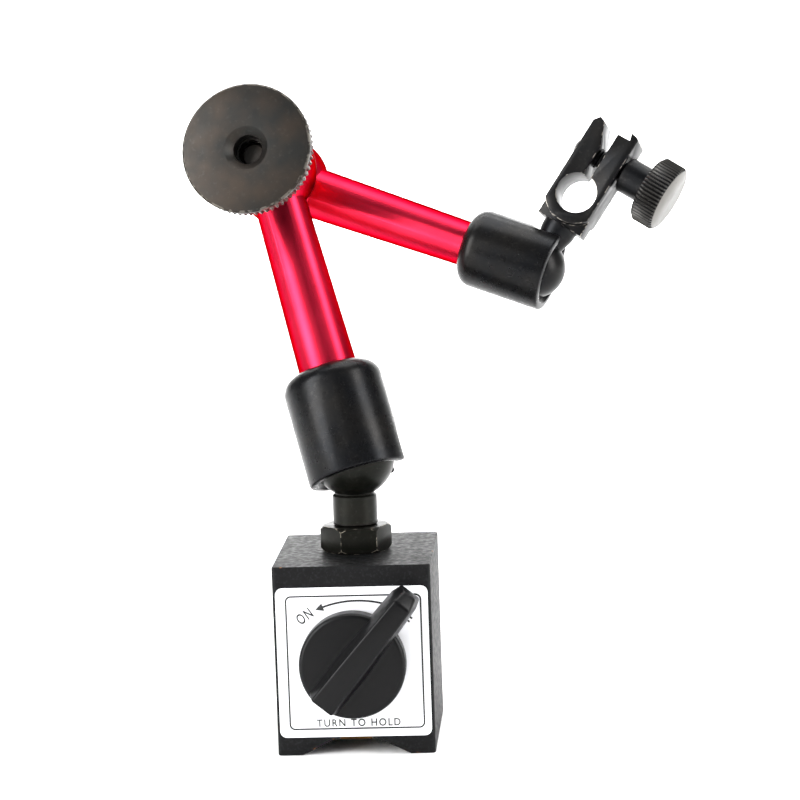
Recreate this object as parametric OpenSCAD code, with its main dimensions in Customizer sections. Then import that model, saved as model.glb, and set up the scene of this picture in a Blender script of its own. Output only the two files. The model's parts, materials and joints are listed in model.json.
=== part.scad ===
// Small magnetic measuring stand: a switchable magnet base, two arms locked
// together with both of their ball joints by one central knob, and a split
// clamp for the stem or the dovetail of a dial indicator. Millimetres.
// The origin is on the bottom of the base, at its centre. +Z is up and the
// switch faces -Y.

/* [Base] */
// Width of the base across its two pole blocks
base_w = 30; // [29:0.5:34]
// Depth of the base from the switch face to the back
base_d = 34.7; // [33:0.1:40]
// Height of the base
base_h = 36.4; // [35:0.1:40]
// Width of each foot strip beside the vee groove
foot_w = 4.7; // [3:0.1:6]
// Height of the vee groove
groove_h = 3.1; // [2:0.1:4]
// Width of the flat at the top of the groove
groove_flat = 7.8; // [6:0.1:10]
// Rounding of the upright corners of the base
base_edge_r = 0.7; // [0.3:0.1:1.5]
// Height of the switch axis above the bottom
switch_z = 18; // [16:0.5:20]
// Radius of the bore that holds the magnet
magnet_bore_r = 9.8; // [8:0.1:10.5]
// Side of the square label plate
label_size = 28.8; // [26:0.1:29]

/* [Switch knob] */
// Radius of the round part of the switch knob
switch_r = 10.1; // [8:0.1:11]
// Angle of the lever from straight up, in the off position
lever_angle = 39.5; // [35:0.5:50]
// Reach of the lever from the switch axis
lever_reach = 18; // [14:0.1:19]
// Height of the lever's crest above the label plate
lever_h = 8.6; // [6:0.1:10]

/* [Lower ball joint] */
// Width of the lock nut across its flats
nut_flats = 12; // [11:0.5:13]
// Height of the lock nut
nut_h = 5; // [4:0.1:6]
// Radius of the stud's shank above the nut
shank_r = 4.3; // [4.2:0.1:5]
// Radius of the lower ball
ball_r = 8; // [7:0.1:8.5]
// Height of the lower ball's centre
ball_z = 54.7; // [53:0.1:58]
// Outer radius of the lower socket
socket_r = 9.7; // [9.5:0.1:11]
// Height of the lower socket above the ball's centre
socket_top = 17.6; // [16:0.1:20]
// How far the lower socket's rim reaches past the ball's centre
socket_lip = 4; // [3:0.1:4.5]

/* [Arms] */
// Lean of the plane of the arms away from upright
plane_pitch = 17; // [0:0.1:25]
// Turn of the plane of the arms about the vertical
plane_yaw = 9.2; // [-20:0.1:20]
// Lean of the lower arm in that plane
lower_lean = 18.1; // [0:0.1:25]
// Length of the lower arm from ball to hinge
lower_len = 59.65; // [55:0.05:70]
// Droop of the upper arm in that plane
upper_droop = 19.3; // [0:0.1:30]
// Length of the upper arm from hinge to ball
upper_len = 54.5; // [50:0.1:65]
// Radius of the lower arm where it enters its socket
lower_arm_r = 5.7; // [5:0.1:6]
// Radius of the upper arm where it enters its socket
upper_arm_r = 4.45; // [4:0.05:5]
// Radius of both arms' turned heads
head_r = 9; // [8.5:0.1:10]
// Thickness of each arm's head along the hinge
head_t = 9.4; // [9:0.1:11]

/* [Locking knob] */
// Outer radius of the locking knob
knob_r = 12.7; // [11:0.1:14]
// Thickness of the knob's knurled rim
knob_rim_t = 4; // [3:0.1:5]
// Distance from the lower arm's middle to the knob's face
knob_face = 19.2; // [17:0.1:21]
// Number of teeth in the knob's knurl
knob_teeth = 72; // [48:1:90]

/* [Upper ball joint and clamp] */
// Radius of the upper ball
tip_ball_r = 6; // [5.5:0.1:6.2]
// Outer radius of the upper socket
tip_socket_r = 7.75; // [7.7:0.05:8.5]
// Height of the upper socket behind the ball's centre
tip_socket_top = 14.4; // [13.5:0.1:16]
// Direction of the clamp above level, in the plane of the arms
clamp_lift = 58.6; // [40:0.1:60]
// Width of the clamp block
clamp_w = 9.9; // [9.5:0.1:11]
// Thickness of the clamp block along its bore
clamp_t = 8; // [7:0.1:9]
// Distance from the upper ball to the clamp's bore
clamp_bore_z = 16.3; // [16:0.1:18]
// Radius of the clamp's bore, for an 8 mm stem
clamp_bore_r = 4; // [3.9:0.05:4.05]
// Width of the clamp's slot
clamp_slot = 1.7; // [1:0.1:2]
// Number of teeth in the thumb screw's knurl
thumb_teeth = 54; // [36:1:60]

/* [Hidden] */
$fn = 64;
run = 0.05;             // running clearance of a shaft or a ball, on the radius
seat_gap = 0.02;        // clearance of a fixed piece in its seat, on the radius
face_gap = 0.02;        // clearance between two flat faces that turn on each other
base_front = -base_d / 2;
base_back = base_d / 2;
label_t = 0.4;
separator_w = 1.6;
keeper_w = 6;
stud_thread_r = 4;
shaft_r = 2.5;
bush_t = 3.2;
cap_t = 3;
magnet_r = magnet_bore_r - 0.08;
magnet_front = base_front + bush_t + 0.3;
magnet_back = base_back - cap_t - 0.3;
pin_r = 1;
pin_ring_r = 6.4;
knob_gap = 0.3;
switch_disc_t = 4;

// Distances along the hinge, from the lower arm's middle, positive backwards
washer_t = 0.6;
hinge_step = head_t + washer_t;
head_face = head_t / 2;
hub_back = head_face + washer_t;
hub_r = 7;
rear_face = hinge_step + head_face;
disc_spring_t = 1;
screw_r = 2.5;
land_r = 5;
cone_half = 3.4;
rod_r = 1.8;
rod_gap = 0.06;
face_r = 9.2;           // the cutter that faces off the heads

seat_back = 10.4;
tip_seat_back = 8;
spigot_r = 4.5;
arm_taper = 0.6;        // change of an arm's radius along its length
tip_spigot_r = 3.4;
spigot_len = 5.2;
tip_lip = 3.5;
notch_r = 3.6;

// ---- places ----

// The plane of the arms, with the lower ball at its origin and +Y rearwards
module arm_plane() translate([0, 0, ball_z]) rotate([-plane_pitch, 0, -plane_yaw]) children();

// Up the lower arm from the lower ball
module lower_axis() arm_plane() rotate([0, -lower_lean, 0]) children();

// The hinge, with +Z rearwards along its axis and +Y up the lower arm
module hinge_axis() lower_axis() translate([0, 0, lower_len]) rotate([-90, 0, 0]) children();

// Out along the upper arm from the hinge
module upper_axis() arm_plane()
    translate([-lower_len * sin(lower_lean), hinge_step, lower_len * cos(lower_lean)])
        rotate([0, 90 + upper_droop, 0]) children();

// Up the clamp from the upper ball, with +X along the thumb screw
module clamp_axis() upper_axis() translate([0, 0, upper_len])
    rotate([0, -upper_droop - clamp_lift, 0]) children();

// The switch, with +Z towards the user
module switch_axis() translate([0, base_front, switch_z]) rotate([90, 0, 0]) children();

// ---- shared shapes ----

// A cylinder along Y through the middle of the base
module bore_along_y(r) translate([0, base_d, switch_z]) rotate([90, 0, 0])
    cylinder(r = r, h = 2 * base_d);

// A ring from z0 to z1
module ring(r_out, r_in, z0, z1) difference() {
    translate([0, 0, z0]) cylinder(r = r_out, h = z1 - z0);
    translate([0, 0, z0 - 1]) cylinder(r = r_in, h = z1 - z0 + 2);
}

// A rod from z0 to z1 with both ends chamfered
module chamfered_rod(r, z0, z1, c) {
    translate([0, 0, z0 + c]) cylinder(r = r, h = z1 - z0 - 2 * c);
    translate([0, 0, z0]) cylinder(r1 = r - c, r2 = r, h = c);
    translate([0, 0, z1 - c]) cylinder(r1 = r, r2 = r - c, h = c);
}

// A square with round corners
module round_square(size, r) {
    inner = size - 2 * r;
    square([size, inner], center = true);
    square([inner, size], center = true);
    for (x = [-1, 1], y = [-1, 1])
        translate([x * inner / 2, y * inner / 2]) circle(r);
}

// A straight knurl: a disc with pointed teeth and chamfered rims
module knurled_disc(r, depth, teeth, t, chamfer) {
    step = 360 / teeth;
    outline = [for (i = [0 : 2 * teeth - 1])
        let (rr = i % 2 == 0 ? r : r - depth)
        [rr * cos(i * step / 2), rr * sin(i * step / 2)]];
    intersection() {
        linear_extrude(t) polygon(outline);
        chamfered_rod(r + 0.1, 0, t, chamfer);
    }
}

// ---- magnetic base ----

module groove() rotate([90, 0, 0]) linear_extrude(2 * base_d, center = true)
    polygon([[-base_w / 2 + foot_w, -1], [-base_w / 2 + foot_w, 0],
        [-groove_flat / 2, groove_h], [groove_flat / 2, groove_h],
        [base_w / 2 - foot_w, 0], [base_w / 2 - foot_w, -1]]);

// The right half of the block's footprint, with its two outer corners rounded
module half_footprint() {
    inner_w = base_w / 2 - base_edge_r;
    inner_d = base_d - 2 * base_edge_r;
    translate([0, base_front]) square([inner_w, base_d]);
    translate([0, -inner_d / 2]) square([base_w / 2, inner_d]);
    for (side = [-1, 1]) translate([inner_w, side * inner_d / 2]) circle(base_edge_r);
}

module stud_hole() translate([0, 0, switch_z]) cylinder(r = stud_thread_r + run, h = base_h);

// One soft iron pole: half of the block, less the magnet's bore and both separators
module pole_block() color([0.13, 0.13, 0.14]) difference() {
    linear_extrude(base_h) half_footprint();
    groove();
    bore_along_y(magnet_bore_r);
    stud_hole();
    translate([-separator_w / 2, -base_d, switch_z]) cube([separator_w, 2 * base_d, base_h]);
    translate([-keeper_w / 2, -base_d, -1]) cube([keeper_w, 2 * base_d, switch_z]);
}

module left_pole_block() mirror([1, 0, 0]) pole_block();

module right_pole_block() pole_block();

module top_separator() color([0.72, 0.58, 0.3]) difference() {
    translate([-separator_w / 2, base_front, switch_z])
        cube([separator_w, base_d, base_h - switch_z]);
    bore_along_y(magnet_bore_r);
    stud_hole();
}

module bottom_separator() color([0.72, 0.58, 0.3]) difference() {
    translate([-keeper_w / 2, base_front, groove_h])
        cube([keeper_w, base_d, switch_z - groove_h]);
    bore_along_y(magnet_bore_r);
}

module magnet_rotor() color([0.3, 0.3, 0.32]) difference() {
    translate([0, magnet_back, switch_z]) rotate([90, 0, 0])
        chamfered_rod(magnet_r, 0, magnet_back - magnet_front, 0.5);
    bore_along_y(shaft_r + seat_gap);
    pin_place() cylinder(r = pin_r + seat_gap, h = 4);
}

// Where the stop pin enters the magnet's front face, running forwards
module pin_place() translate([0, magnet_front + 2, switch_z]) rotate([90, lever_angle, 0])
    translate([0, pin_ring_r, 0]) children();

module stop_pin() color([0.7, 0.7, 0.7]) pin_place() cylinder(r = pin_r, h = 3.8);

module rotor_shaft() color([0.6, 0.6, 0.62]) switch_axis()
    chamfered_rod(shaft_r, -base_d + 1.2, 4, 0.4);

// The bush closes the bore in front and holds the arc slot that stops the switch
module front_bush() color([0.75, 0.6, 0.32]) switch_axis() difference() {
    translate([0, 0, -bush_t]) cylinder(r = magnet_bore_r - seat_gap, h = bush_t);
    translate([0, 0, -base_d]) cylinder(r = shaft_r + run, h = 2 * base_d);
    translate([0, 0, -bush_t - 1]) rotate([0, 0, 90 - lever_angle - 12])
        rotate_extrude(angle = 114) translate([pin_ring_r - pin_r - 0.3, 0])
            square([2 * pin_r + 0.6, 3]);
}

module rear_cap() color([0.35, 0.35, 0.36]) translate([0, base_back, switch_z])
    rotate([90, 0, 0]) difference() {
        chamfered_rod(magnet_bore_r - seat_gap, 0, cap_t, 0.4);
        translate([0, 0, 1]) cylinder(r = shaft_r + run, h = cap_t);
    }

module label_plate() color([0.92, 0.92, 0.93]) switch_axis() difference() {
    linear_extrude(label_t) round_square(label_size, 1.3);
    translate([0, 0, -1]) cylinder(r = shaft_r + 1, h = 3);
}

// A slice across the lever, for a hull along its length
module lever_slice(along, crest_half, foot_half, low, high) translate([0, along, 0])
    rotate([90, 0, 0]) linear_extrude(0.05)
        polygon([[-foot_half, low], [foot_half, low], [crest_half, high], [-crest_half, high]]);

module switch_knob() color([0.08, 0.08, 0.09]) switch_axis()
    translate([0, 0, label_t + knob_gap]) rotate([0, 0, -lever_angle]) difference() {
        union() {
            chamfered_rod(switch_r, 0, switch_disc_t, 0.6);
            hull() {
                lever_slice(-switch_r + 0.9, 2.4, 3.4, switch_disc_t - 1, lever_h - 1.1);
                lever_slice(0, 2.3, 3.6, switch_disc_t - 1, lever_h - 0.2);
                lever_slice(lever_reach - 2.2, 1.8, 2.9, 1.6, lever_h - knob_gap);
                lever_slice(lever_reach, 1.3, 2.2, 2.2, lever_h - 2.6);
            }
        }
        translate([0, 0, -1]) cylinder(r = shaft_r + seat_gap, h = 4.6);
    }

// ---- lower ball joint ----

module lock_nut() color([0.12, 0.12, 0.12]) translate([0, 0, base_h]) rotate([0, 0, 9])
    difference() {
        intersection() {
            cylinder(r = nut_flats / 2 / cos(30), h = nut_h, $fn = 6);
            chamfered_rod(nut_flats / 2 / cos(30) + 0.1, 0, nut_h, 0.8);
        }
        translate([0, 0, -1]) cylinder(r = stud_thread_r + run, h = nut_h + 2);
    }

module lower_ball_stud() color([0.15, 0.14, 0.13]) {
    shank_z = base_h + nut_h;
    chamfered_rod(stud_thread_r, switch_z + magnet_bore_r + 1, shank_z + 0.8, 0.7);
    chamfered_rod(shank_r, shank_z, shank_z + 6, 0.4);
    cylinder_between(3.75, shank_z + 5, ball_z - ball_r + 1.6);
    translate([0, 0, ball_z]) sphere(r = ball_r);
}

module cylinder_between(r, z0, z1) translate([0, 0, z0]) cylinder(r = r, h = z1 - z0);

// A turned cup with a rounded shoulder; the ball sits at the origin and the arm above it
module socket_cup(r_out, r_ball, top, lip, shoulder, hole_r, depth) difference() {
    rotate_extrude() {
        translate([0, -lip]) square([r_out, top + lip - shoulder]);
        square([r_out - shoulder, top]);
        translate([r_out - shoulder, top - shoulder]) circle(shoulder);
    }
    sphere(r = r_ball + run);
    cylinder(r = r_ball + run, h = depth);
    cylinder(r = hole_r, h = top + 1);
    // The mouth is opened out in front of the edge that holds the ball
    edge_r = sqrt(pow(r_ball + run, 2) - pow(lip - 1, 2));
    translate([0, 0, -lip - 1]) cylinder(r1 = edge_r + 1.4, r2 = edge_r - 0.35, h = 2.5);
}

module lower_socket() color([0.12, 0.12, 0.13]) lower_axis() difference() {
    socket_cup(socket_r, ball_r, socket_top, socket_lip, 3.4, spigot_r + seat_gap, 11.4);
    rotate([0, 0, 25]) socket_notch(socket_r, socket_lip, shank_r + 0.5);
}

// The notch that lets a stud swing out to a right angle
module socket_notch(r_out, lip, half) {
    rotate([0, 90, 0]) cylinder(r = half, h = r_out + 1);
    translate([0, -half, -lip - 1]) cube([r_out + 1, 2 * half, lip + 1]);
}

// A thrust cup that the push rod presses on to its ball
module ball_seat(r_ball, back) difference() {
    translate([0, 0, r_ball * 0.55]) cylinder(r = r_ball - 0.25, h = back - r_ball * 0.55);
    sphere(r = r_ball + run);
}

module lower_ball_seat() color([0.72, 0.6, 0.36]) lower_axis() ball_seat(ball_r, seat_back);

// ---- arms ----

// One arm: a ball-shaped head at the origin, and its taper and spigot along +Z.
// Both sides of the head are faced off flat, square to the hinge.
module arm(head_end_r, socket_end_r, shoulder_z, plug_r) difference() {
    union() {
        sphere(r = head_r);
        cylinder(r1 = head_end_r, r2 = socket_end_r, h = shoulder_z);
        cylinder(r = plug_r, h = shoulder_z + spigot_len);
    }
    for (side = [0, 180]) rotate([90, 0, side]) translate([0, 0, head_face])
        cylinder(r = face_r, h = head_r);
    rotate([90, 0, 0]) cylinder(r = land_r + run, h = 4 * head_r, center = true);
    cylinder(r = rod_r + run, h = shoulder_z + spigot_len + 1);
}

module lower_arm() color([0.72, 0.05, 0.12]) lower_axis() translate([0, 0, lower_len]) {
    rotate([180, 0, 0]) arm(lower_arm_r - arm_taper, lower_arm_r, lower_len - socket_top, spigot_r);
    // The collar in front of the stud's first cone
    rotate([90, 0, 0]) ring(land_r + 1, screw_r + run, head_face - 1, head_face);
}

module upper_arm() color([0.72, 0.05, 0.12]) upper_axis()
    arm(upper_arm_r + arm_taper, upper_arm_r, upper_len - tip_socket_top, tip_spigot_r);

// ---- central lock ----

// The stud's outline on one side: thread, cone, land, neck, cone, land and head
module stud_profile(grow) {
    second = hinge_step - cone_half;
    polygon([[0, -13], [screw_r - 0.45, -13], [screw_r + grow, -12.5],
        [screw_r + grow, -cone_half], [land_r + grow, cone_half], [land_r + grow, cone_half + 2.4],
        [screw_r + grow, second - 0.4], [screw_r + grow, second],
        [land_r + grow, second + 2 * cone_half], [land_r + grow, rear_face + 1],
        [0, rear_face + 1]]);
}

module centre_stud() color([0.2, 0.2, 0.2]) hinge_axis() {
    rotate_extrude() stud_profile(0);
    translate([0, 0, rear_face + disc_spring_t]) chamfered_rod(6.6, 0, 2.4, 0.7);
}

// The knob: a knurled rim on a smaller hub, bored for the stud's thread
module locking_knob() color([0.2, 0.19, 0.18]) hinge_axis() difference() {
    union() {
        // A plain band runs round the front edge, with the teeth behind it
        translate([0, 0, -knob_face]) chamfered_rod(knob_r, 0, 1.1, 0.4);
        translate([0, 0, -knob_face])
            knurled_disc(knob_r - 0.1, 0.45, knob_teeth, knob_rim_t, 0.5);
        translate([0, 0, -knob_face + knob_rim_t - 0.5])
            cylinder(r = hub_r, h = knob_face - knob_rim_t + 0.5 - hub_back);
    }
    translate([0, 0, -knob_face - 1]) cylinder(r = screw_r + run, h = knob_face + 2);
    translate([0, 0, -knob_face - 1]) cylinder(r = 2.85, h = 5.2);
    translate([0, 0, -knob_face - 0.01]) cylinder(r1 = 4.3, r2 = 2.8, h = 1.5);
}

module knob_washer() color([0.6, 0.6, 0.6]) hinge_axis()
    ring(6.6, screw_r + run, -hub_back, -head_face - face_gap);

module hinge_washer() color([0.75, 0.7, 0.6]) hinge_axis()
    ring(7.3, land_r + run, head_face, head_face + washer_t - face_gap);

module disc_spring() color([0.5, 0.5, 0.52]) hinge_axis() difference() {
    translate([0, 0, rear_face]) cylinder(r1 = 6.8, r2 = 6.2, h = disc_spring_t - face_gap);
    translate([0, 0, rear_face - 1]) cylinder(r = land_r + run, h = 3);
}

module lower_push_rod() color([0.65, 0.65, 0.66]) difference() {
    lower_axis() chamfered_rod(rod_r, seat_back, lower_len - 2.6, 0.3);
    hinge_axis() rotate_extrude() stud_profile(rod_gap);
}

module upper_push_rod() color([0.65, 0.65, 0.66]) difference() {
    upper_axis() chamfered_rod(rod_r, 2.6, upper_len - tip_seat_back, 0.3);
    hinge_axis() rotate_extrude() stud_profile(rod_gap);
}

// ---- upper ball joint and clamp ----

module upper_ball_seat() color([0.72, 0.6, 0.36]) upper_axis() translate([0, 0, upper_len])
    rotate([180, 0, 0]) ball_seat(tip_ball_r, tip_seat_back);

module upper_socket() color([0.12, 0.12, 0.13]) upper_axis() translate([0, 0, upper_len])
    rotate([180, 0, 0]) difference() {
        socket_cup(tip_socket_r, tip_ball_r, tip_socket_top, tip_lip, 3,
            tip_spigot_r + seat_gap, 9.2);
        rotate([0, 0, 180]) socket_notch(tip_socket_r, tip_lip, notch_r);
    }

clamp_bottom = clamp_bore_z - 6.8;
clamp_screw_z = clamp_bore_z + 8.4;
clamp_top = clamp_bore_z + 14;

module upper_ball_stud() color([0.13, 0.12, 0.12]) clamp_axis() {
    sphere(r = tip_ball_r);
    translate([0, 0, tip_ball_r - 0.8]) cylinder(r1 = 2.6, r2 = 3.5, h = clamp_bottom - tip_ball_r + 0.8);
    chamfered_rod(2, clamp_bottom - 1, clamp_bottom + 2.2, 0.3);
}

// The clamp seen along its bore: a slot up from the bore, and at the top the
// two hooks that grip an indicator's dovetail
module clamp_outline() {
    half = clamp_w / 2;
    gap = clamp_slot / 2;
    difference() {
        polygon([[-half, clamp_bottom], [half, clamp_bottom],
            [half, clamp_top + 0.7], [half - 0.5, clamp_top + 1.2], [half - 1.9, clamp_top + 1.5],
            [half - 1.4, clamp_top], [gap, clamp_top - 0.1], [0, clamp_screw_z],
            [-gap, clamp_top - 3.8], [-2.8, clamp_top + 0.8], [-4, clamp_top + 1.2],
            [-half, clamp_top]]);
        translate([0, clamp_bore_z]) circle(clamp_bore_r);
        translate([-gap, clamp_bore_z]) square([clamp_slot, 20]);
    }
}

module clamp_block() color([0.12, 0.12, 0.13]) clamp_axis() difference() {
    rotate([90, 0, 0]) linear_extrude(clamp_t, center = true) clamp_outline();
    // Both faces are milled back below a round shoulder about the bore
    for (side = [-1, 1]) difference() {
        translate([0, side * clamp_t / 2, clamp_bottom]) cube([2 * clamp_w, 3.4, 8], center = true);
        translate([0, 0, clamp_bore_z]) rotate([90, 0, 0])
            cylinder(r = 6.2, h = 4 * clamp_t, center = true);
    }
    translate([0, 0, clamp_bottom - 1]) cylinder(r = 2 + seat_gap, h = 3.4);
    translate([-clamp_w, 0, clamp_screw_z]) rotate([0, 90, 0]) cylinder(r = 2 + run, h = 2 * clamp_w);
}

// Knurled head, plain sleeve and a thread that crosses both jaws
module thumb_screw() color([0.13, 0.13, 0.14]) clamp_axis() translate([0, 0, clamp_screw_z])
    rotate([0, 90, 0]) {
        chamfered_rod(2, -clamp_w / 2 - 1.1, clamp_w / 2 + 1, 0.5);
        translate([0, 0, clamp_w / 2 + 0.3]) cylinder(r = 3.6, h = 5.7);
        translate([0, 0, clamp_w / 2 + 5.7]) knurled_disc(6.8, 0.4, thumb_teeth, 5, 0.6);
    }

left_pole_block();
right_pole_block();
top_separator();
bottom_separator();
magnet_rotor();
rotor_shaft();
stop_pin();
front_bush();
rear_cap();
label_plate();
switch_knob();
lock_nut();
lower_ball_stud();
lower_socket();
lower_ball_seat();
lower_arm();
lower_push_rod();
centre_stud();
locking_knob();
knob_washer();
hinge_washer();
disc_spring();
upper_arm();
upper_push_rod();
upper_ball_seat();
upper_socket();
upper_ball_stud();
clamp_block();
thumb_screw();
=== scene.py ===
import json
import math
from math import cos, pi, radians, sin, tau

import bmesh
import bpy
from mathutils import Matrix, Vector


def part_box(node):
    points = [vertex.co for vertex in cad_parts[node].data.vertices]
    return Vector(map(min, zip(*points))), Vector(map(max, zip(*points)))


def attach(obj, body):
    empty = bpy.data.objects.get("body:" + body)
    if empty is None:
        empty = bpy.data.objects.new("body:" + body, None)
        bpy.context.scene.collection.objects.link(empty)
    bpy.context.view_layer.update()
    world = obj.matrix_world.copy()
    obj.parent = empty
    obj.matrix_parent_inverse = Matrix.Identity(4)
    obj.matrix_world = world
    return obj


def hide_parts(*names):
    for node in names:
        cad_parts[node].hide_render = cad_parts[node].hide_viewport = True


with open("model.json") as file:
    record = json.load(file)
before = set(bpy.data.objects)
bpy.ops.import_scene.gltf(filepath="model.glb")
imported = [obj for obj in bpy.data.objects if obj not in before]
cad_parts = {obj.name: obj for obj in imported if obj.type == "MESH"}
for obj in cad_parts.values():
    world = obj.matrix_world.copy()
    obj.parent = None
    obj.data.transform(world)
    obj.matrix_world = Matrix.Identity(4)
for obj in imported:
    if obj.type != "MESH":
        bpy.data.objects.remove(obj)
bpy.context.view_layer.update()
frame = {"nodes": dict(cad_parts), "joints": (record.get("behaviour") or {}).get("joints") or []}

MM = 0.001

# ---------------------------------------------------------------- camera

VIEW_AZIMUTH = radians(3.417)
VIEW_ELEVATION = radians(7.643)
VIEW_ROLL = radians(-1.939)
VIEW_DISTANCE = 0.59176
VIEW_TARGET = Vector((0.0094, 0, 0.0653))
LENS_MM = 138.5
SENSOR_MM = 36


def make_camera():
    """A long lens a little above the stand and to its right, rolled slightly."""
    data = bpy.data.cameras.new("camera")
    data.lens = LENS_MM
    data.sensor_width = SENSOR_MM
    camera = bpy.data.objects.new("camera", data)
    bpy.context.scene.collection.objects.link(camera)
    back = Vector((sin(VIEW_AZIMUTH) * cos(VIEW_ELEVATION),
                   -cos(VIEW_AZIMUTH) * cos(VIEW_ELEVATION), sin(VIEW_ELEVATION)))
    turn = back.to_track_quat("Z", "Y").to_matrix().to_4x4()
    camera.matrix_world = (Matrix.Translation(VIEW_TARGET + back * VIEW_DISTANCE) @ turn
                           @ Matrix.Rotation(VIEW_ROLL, 4, "Z"))
    bpy.context.scene.camera = camera


make_camera()

# ---------------------------------------------------------------- places

joints = {joint["name"]: joint for joint in frame["joints"]}


def joint_point(name):
    return Vector(joints[name]["pos_m"])


def joint_axis(name):
    return Vector(joints[name]["axis"]).normalized()


def placed(origin, along, across):
    """The matrix whose Z runs along a line and whose X lies closest to another."""
    z = along.normalized()
    y = z.cross(across).normalized()
    turn = Matrix((y.cross(z), y, z)).transposed().to_4x4()
    return Matrix.Translation(origin) @ turn


towards_user = joint_axis("elbow_fold")
lower_ball = joint_point("lower_roll")
upper_ball = joint_point("upper_tilt")
lower_hinge = joint_point("knob_turn")
upper_hinge = joint_point("elbow_fold")
lower_up = joint_axis("lower_roll")
clamp_up = joint_axis("clamp_spin")
screw_out = -joint_axis("thumb_turn")

# Each place has its origin and its axes where the piece is easiest to draw.
BASE = Matrix.Identity(4)
SWITCH = placed(joint_point("switch_turn"), joint_axis("switch_turn"), Vector((1, 0, 0)))
STUD = placed(lower_ball, Vector((0, 0, 1)), Vector((1, 0, 0)))
LOWER_ARM = placed(lower_ball, lower_up, -towards_user.cross(lower_up))
HINGE = placed(lower_hinge, -towards_user, lower_up)
UPPER_ARM = placed(upper_ball, upper_hinge - upper_ball, clamp_up)
CLAMP = placed(upper_ball, clamp_up, screw_out)
THUMB = placed(joint_point("thumb_turn"), screw_out, clamp_up)

# ---------------------------------------------------------------- sizes, in mm

LABEL_T = 0.4
LABEL_SIDE = 28.8

# The base's edges inside these limits stay sharp.
MATING_X = 0.9
BORE_Z = 18.0
BORE_R = 9.9
STUD_HOLE_R = 4.2

# The switch knob
SWITCH_GAP = 0.3
SWITCH_R = 10.1
SWITCH_DISC_T = 4.0
LEVER_ANGLE = radians(39.5)
LEVER_REACH = 18.0
LEVER_TOP = 8.3

# The lower ball joint
BALL_R = 8.0
SHANK_R = 4.3
NECK_R = 3.75
SOCKET_R = 9.7
SOCKET_TOP = 17.6
SOCKET_LIP = 4.0
SOCKET_SHOULDER = 3.4
SOCKET_BORE_R = 4.52
SOCKET_BORE_END = 11.4
LOWER_NOTCH_R = SHANK_R + 0.5
LOWER_NOTCH_TURN = 25

# The arms
ARM_HEAD_R = 9.0
HEAD_HALF = 4.7
FACED_R = 9.2
HINGE_BORE_R = 5.05
LOWER_ARM_R = 5.7
UPPER_ARM_R = 4.45
ARM_TAPER = 0.6
SPIGOT_LEN = 5.2
LOWER_SPIGOT_R = 4.5
UPPER_SPIGOT_R = 3.4
ROD_BORE_R = 1.85

# The upper ball joint and the clamp
TIP_BALL_R = 6.0
TIP_SOCKET_R = 7.75
TIP_SOCKET_TOP = 14.4
TIP_LIP = 3.5
TIP_SHOULDER = 3.0
TIP_BORE_R = 3.42
TIP_BORE_END = 9.2
TIP_NOTCH_R = 3.6
CLAMP_BOTTOM = 9.5

# The locking knob and the thumb screw
KNOB_R = 12.7
KNOB_RIM_T = 4.0
KNOB_FACE = -19.2
HUB_R = 7.0
HUB_BACK = -5.3
KNOB_TEETH = 72
THUMB_TEETH = 54
STEPS_PER_TOOTH = 4

THREAD_PITCH = 0.7
THUMB_TO_MIDDLE = 4.95

ROUND_STEPS = 128

lower_len = (lower_hinge - lower_ball).length / MM
upper_len = (upper_hinge - upper_ball).length / MM

# ---------------------------------------------------------------- materials

# A pattern's scale is one over its size in millimetres.


def linear(hex_colour):
    """An sRGB hex colour as linear RGBA."""
    value = hex_colour.lstrip("#")
    channels = [int(value[i:i + 2], 16) / 255 for i in (0, 2, 4)]
    return [c / 12.92 if c <= 0.04045 else ((c + 0.055) / 1.055) ** 2.4
            for c in channels] + [1.0]


def add(tree, kind, inputs=None, **settings):
    """One shader node with its settings, its values and its links."""
    node = tree.nodes.new("ShaderNode" + kind)
    for name, value in settings.items():
        setattr(node, name, value)
    for key, value in (inputs or {}).items():
        socket = next(s for s in node.inputs if s.enabled and key in (s.name, s.identifier))
        if isinstance(value, bpy.types.Node):
            value = next(s for s in value.outputs if s.enabled)
        if isinstance(value, bpy.types.NodeSocket):
            tree.links.new(value, socket)
        else:
            socket.default_value = value
    return node


def new_finish(name, **values):
    """A material with one Principled shader whose sockets hold the given values."""
    material = bpy.data.materials.new(name)
    material.use_nodes = True
    tree = material.node_tree
    tree.nodes.clear()
    shader = add(tree, "BsdfPrincipled", {k.replace("_", " "): v for k, v in values.items()})
    add(tree, "OutputMaterial", {"Surface": shader})
    return material, tree, shader


def dress(tree, shader, **values):
    """Links patterns into the shader's sockets."""
    for key, value in values.items():
        tree.links.new(next(s for s in value.outputs if s.enabled),
                       shader.inputs[key.replace("_", " ")])


def millimetres(tree, place):
    """Object coordinates in the axes of a place, in millimetres."""
    return add(tree, "Mapping", {
        "Vector": add(tree, "TexCoord").outputs["Object"],
        "Location": place.to_translation(),
        "Rotation": place.to_euler(),
        "Scale": (MM, MM, MM)}, vector_type="TEXTURE")


def turning_marks(tree, vector, pitch_mm):
    """Uneven tool marks round Z, one every pitch_mm along a wall or across a face."""
    parts = add(tree, "SeparateXYZ", {"Vector": vector})
    flat = add(tree, "CombineXYZ", {"X": parts.outputs["X"], "Y": parts.outputs["Y"]})
    radius = add(tree, "VectorMath", {"Vector": flat}, operation="LENGTH")
    along = add(tree, "Math", {"Value": radius, "Value_001": parts.outputs["Z"]})
    return add(tree, "TexNoise", {"W": along, "Scale": 1 / pitch_mm, "Detail": 2},
               noise_dimensions="1D")


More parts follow.
